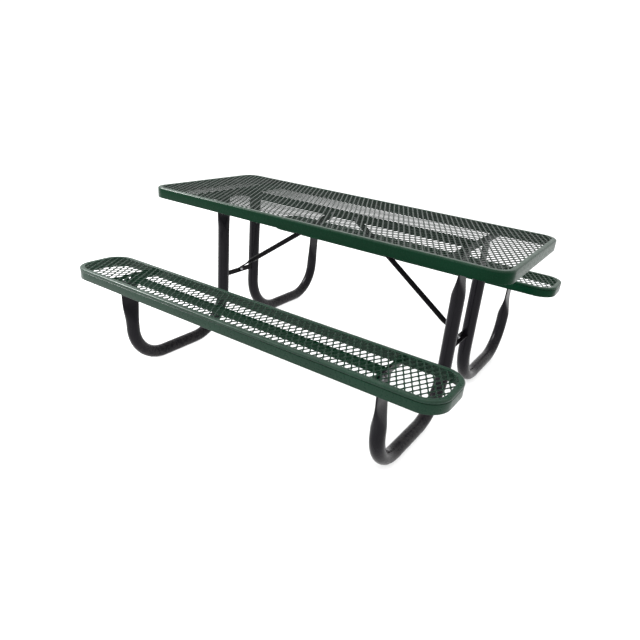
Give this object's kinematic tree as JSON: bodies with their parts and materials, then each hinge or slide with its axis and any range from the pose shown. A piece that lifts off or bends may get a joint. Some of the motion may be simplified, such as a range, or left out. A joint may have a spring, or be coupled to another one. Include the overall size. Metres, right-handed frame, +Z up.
{
  "type": "picnic table",
  "caption": "Rectangular picnic table with attached bench seats: coated expanded-steel top and seats bolted to a bent steel-tube frame.",
  "frame": {"origin": "on the ground, below the centre of the top", "axes": "+Z up, +X along the length of the table, -Y towards the front seat"},
  "size_m": [1.829, 1.716, 0.795],
  "materials": {
    "coated_frame": "gloss dark green plastisol coating on the rims and bars",
    "coated_mesh": "gloss dark green plastisol coating on expanded steel",
    "black_tube": "semi-gloss black powder coat",
    "zinc_hardware": "zinc plated"
  },
  "bodies": {
    "root": {"bolt_brace_foot_left": "zinc_hardware", "bolt_brace_foot_right": "zinc_hardware", "bolt_brace_head_left": "zinc_hardware", "bolt_brace_head_right": "zinc_hardware", "bolt_seat_front_left_1": "zinc_hardware", "bolt_seat_front_left_2": "zinc_hardware", "bolt_seat_front_right_1": "zinc_hardware", "bolt_seat_front_right_2": "zinc_hardware", "bolt_seat_rear_left_1": "zinc_hardware", "bolt_seat_rear_left_2": "zinc_hardware", "bolt_seat_rear_right_1": "zinc_hardware", "bolt_seat_rear_right_2": "zinc_hardware", "bolt_top_front_left": "zinc_hardware", "bolt_top_front_right": "zinc_hardware", "bolt_top_rear_left": "zinc_hardware", "bolt_top_rear_right": "zinc_hardware", "diagonal_brace_left": "black_tube", "diagonal_brace_right": "black_tube", "front_seat_cross_bar_left": "coated_frame", "front_seat_cross_bar_right": "coated_frame", "front_seat_long_bar": "coated_frame", "front_seat_mesh": "coated_mesh", "front_seat_rim": "coated_frame", "leg_front_left": "black_tube", "leg_front_right": "black_tube", "leg_rear_left": "black_tube", "leg_rear_right": "black_tube", "nut_brace_foot_left": "zinc_hardware", "nut_brace_foot_right": "zinc_hardware", "nut_brace_head_left": "zinc_hardware", "nut_brace_head_right": "zinc_hardware", "nut_seat_front_left_1": "zinc_hardware", "nut_seat_front_left_2": "zinc_hardware", "nut_seat_front_right_1": "zinc_hardware", "nut_seat_front_right_2": "zinc_hardware", "nut_seat_rear_left_1": "zinc_hardware", "nut_seat_rear_left_2": "zinc_hardware", "nut_seat_rear_right_1": "zinc_hardware", "nut_seat_rear_right_2": "zinc_hardware", "nut_top_front_left": "zinc_hardware", "nut_top_front_right": "zinc_hardware", "nut_top_rear_left": "zinc_hardware", "nut_top_rear_right": "zinc_hardware", "post_tie_left": "black_tube", "post_tie_right": "black_tube", "rear_seat_cross_bar_left": "coated_frame", "rear_seat_cross_bar_right": "coated_frame", "rear_seat_long_bar": "coated_frame", "rear_seat_mesh": "coated_mesh", "rear_seat_rim": "coated_frame", "top_cross_bar_left": "coated_frame", "top_cross_bar_right": "coated_frame", "top_long_bar": "coated_frame", "top_mesh": "coated_mesh", "top_rim": "coated_frame"}
  },
  "joints": []
}
